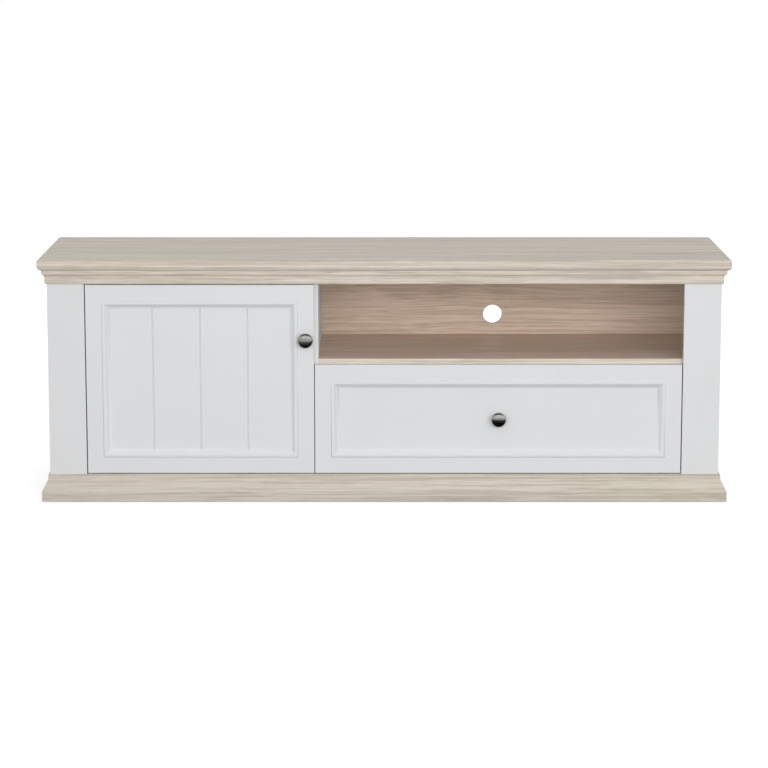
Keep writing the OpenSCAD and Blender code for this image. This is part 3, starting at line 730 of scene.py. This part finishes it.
def grooved_panel(low, high, grooves):
    """A panel whose front has soft vee grooves from top to bottom."""
    outline = [(low.x, high.y), (low.x, low.y)]
    for x in grooves:
        outline += [(x - GROOVE_HALF - 0.3 * MM, low.y), (x - GROOVE_HALF, low.y + 0.1 * MM),
                    (x - GROOVE_HALF + 0.3 * MM, low.y + 0.4 * MM),
                    (x - 0.2 * MM, low.y + GROOVE_DEEP), (x + 0.2 * MM, low.y + GROOVE_DEEP),
                    (x + GROOVE_HALF - 0.3 * MM, low.y + 0.4 * MM),
                    (x + GROOVE_HALF, low.y + 0.1 * MM), (x + GROOVE_HALF + 0.3 * MM, low.y)]
    outline += [(high.x, low.y), (high.x, high.y)]
    return swept([[(x, y, z) for x, y in outline] for z in (low.z, high.z)])


panel_low, panel_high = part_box("door_panel")
middle_x = (panel_low.x + panel_high.x) / 2
groove_xs = [middle_x - PLANK, middle_x, middle_x + PLANK]
piece("door_planks", grooved_panel(panel_low, panel_high, groove_xs), "door",
      white_front, "white_board", "door_panel", sharp=40)
piece("drawer_field", grooved_panel(*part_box("drawer_panel"), []), "drawer",
      white_front, "white_board", "drawer_panel")
print("panels: 2, grooves at", [round(x, 4) for x in groove_xs])

# %% [markdown]
# ## Knobs
# The knobs are cast mushrooms in polished black nickel: a small foot, a slim neck, a rolled rim
# and a shallow dome. They are turned from one profile. Their look comes almost wholly from what
# they mirror, so the dome has to be smooth.

# %% Knobs


def knob_profile(radius, length):
    """Foot, neck, rim and dome, as radius and distance out."""
    foot = [(0, 0), (9.0 * MM, 0), (9.0 * MM, 0.8 * MM), (8.7 * MM, 1.2 * MM)]
    neck = arc((11.5 * MM, 7.5 * MM), 5.5 * MM, 246, 180, 8)
    bell = arc((13 * MM, 12 * MM), 7 * MM, 180, 115, 8)
    rim_r = 2.0 * MM
    rim = arc((radius - rim_r, length - 7 * MM), rim_r, -60, 55, 10)
    start = rim[-1]
    rise = length - start[1]
    dome = [
        (start[0] * math.cos(math.radians(a)), start[1] + rise * math.sin(math.radians(a)))
        for a in [6 * i for i in range(1, 16)]
    ]
    return foot + neck + bell + rim + dome


for owner, body in (("door", "door"), ("drawer", "drawer")):
    low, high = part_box(owner + "_knob")
    centre = ((low.x + high.x) / 2, high.y, (low.z + high.z) / 2)
    profile = knob_profile((high.x - low.x) / 2, high.y - low.y)
    piece(owner + "_knob_turned", turned(profile, centre), body, dark_nickel, "dark_nickel",
          owner + "_knob", sharp=40)
    print(owner, "knob at", [round(v, 4) for v in centre])

# %% [markdown]
# ## Fittings
# The hinges, runners, screws and catches show when the door or the drawer is open. Their shapes
# are right in the frame, so these nodes stay and only get their metals and plastics.

# %% Fittings
FITTINGS = {
    zinc_steel: [
        "top_screws", "cam_locks", "cam_bolts", "shelf_pins", "door_knob_screw", "catch_plate",
        "hinge_cups", "hinge_pins", "hinge_arms", "hinge_plates", "hinge_cup_screws",
        "hinge_plate_screws", "drawer_knob_screw", "drawer_screws", "runner_outers",
        "runner_middles", "runner_inners", "runner_screws"],
    white_board: ["drawer_bottom"],
    white_plastic: ["magnet_catch"],
    grey_plastic: ["glides"],
}
for material, nodes in FITTINGS.items():
    for node in nodes:
        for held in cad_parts[node].material_slots:
            held.material = material
print("fittings:", sum(len(nodes) for nodes in FITTINGS.values()))

# %% [markdown]
# ## Floor and light
# The cabinet stands on a plain white floor in front of white, as in a catalogue. The floor is
# bright for the camera, pale for the light that bounces off it, and dark for mirror-like
# reflections, so that the knobs keep their dark lower half. A wide soft light stands in front,
# a little above the cabinet, and the surroundings fill in from above.

# %% Floor
floor_mesh = bpy.data.meshes.new("floor")
floor_mesh.from_pydata([(-30, -30, 0), (30, -30, 0), (30, 30, 0), (-30, 30, 0)], [], [(0, 1, 2, 3)])
floor = bpy.data.objects.new("floor", floor_mesh)
bpy.context.scene.collection.objects.link(floor)
floor_material = bpy.data.materials.new("white studio floor")
floor_material.use_nodes = True
tree = floor_material.node_tree
tree.nodes.clear()
ray = place(tree, "ShaderNodeLightPath")
floor_point = place(tree, "ShaderNodeTexCoord").outputs["Object"]
away = place(tree, "ShaderNodeVectorMath", {0: floor_point}, operation="LENGTH").outputs["Value"]
glow = place(tree, "ShaderNodeEmission", {
    "Color": (1, 1, 1, 1), "Strength": ranged(tree, away, 1.2, 3.0, 0.55, 1.0)})
matt = place(tree, "ShaderNodeBsdfDiffuse", {"Color": (0.8, 0.8, 0.8, 1)})
seen = place(tree, "ShaderNodeAddShader", {0: glow.outputs[0], 1: matt.outputs[0]})
bounce = place(tree, "ShaderNodeBsdfDiffuse", {"Color": (0.42, 0.42, 0.42, 1)})
far_floor = ranged(tree, away, 0.7, 4.5, 0.015, 0.9)
mirrored = place(tree, "ShaderNodeBsdfDiffuse", {"Color": far_floor})
unseen = place(tree, "ShaderNodeMixShader", {
    0: ray.outputs["Is Glossy Ray"], 1: bounce.outputs[0], 2: mirrored.outputs[0]})
both = place(tree, "ShaderNodeMixShader", {
    0: ray.outputs["Is Camera Ray"], 1: unseen.outputs[0], 2: seen.outputs[0]})
place(tree, "ShaderNodeOutputMaterial", {"Surface": both.outputs[0]})
floor_mesh.materials.append(floor_material)

# %% Surroundings
world = bpy.data.worlds.new("studio")
bpy.context.scene.world = world
world.use_nodes = True
tree = world.node_tree
tree.nodes.clear()
ray = place(tree, "ShaderNodeLightPath")
direction = place(tree, "ShaderNodeTexCoord").outputs["Generated"]
across, _, height = place(tree, "ShaderNodeSeparateXYZ", {0: direction}).outputs
fill = place(tree, "ShaderNodeBackground", {"Color": (0.985, 0.99, 1.0, 1), "Strength": 0.58})
wall = sum_of(tree, "MULTIPLY", ranged(tree, height, 0.0, 0.05, 0.02, 1.0),
              ranged(tree, height, 0.50, 0.75, 1.15, 0.05))
wall = sum_of(tree, "MULTIPLY", wall, ranged(tree, across, -0.55, -0.25, 0.7, 1.0))
mirrored_room = place(tree, "ShaderNodeBackground", {"Color": (0.98, 1.0, 0.97, 1), "Strength": wall})
lit = place(tree, "ShaderNodeMixShader", {
    0: ray.outputs["Is Glossy Ray"], 1: fill.outputs[0], 2: mirrored_room.outputs[0]})
white = place(tree, "ShaderNodeBackground", {"Color": (1, 1, 1, 1), "Strength": 1.0})
sky = place(tree, "ShaderNodeMixShader", {
    0: ray.outputs["Is Camera Ray"], 1: lit.outputs[0], 2: white.outputs[0]})
place(tree, "ShaderNodeOutputWorld", {"Surface": sky.outputs[0]})

# %% Lights


def softbox(name, place_at, target, width, height_of_box, power):
    """A rectangular light that faces a target."""
    light = bpy.data.lights.new(name, "AREA")
    light.shape = "RECTANGLE"
    light.size = width
    light.size_y = height_of_box
    light.energy = power
    box = bpy.data.objects.new(name, light)
    box.location = place_at
    box.rotation_euler = (Vector(target) - Vector(place_at)).to_track_quat("-Z", "Y").to_euler()
    box.visible_glossy = False
    bpy.context.scene.collection.objects.link(box)


softbox("front softbox", (0.6, -5.0, 1.35), (0, 0, 0.3), 5.0, 1.4, 132)
softbox("top softbox", (0.0, -0.4, 3.2), (0, 0, 0.3), 4.0, 1.6, 4)
print("light: 2 softboxes and the surroundings")
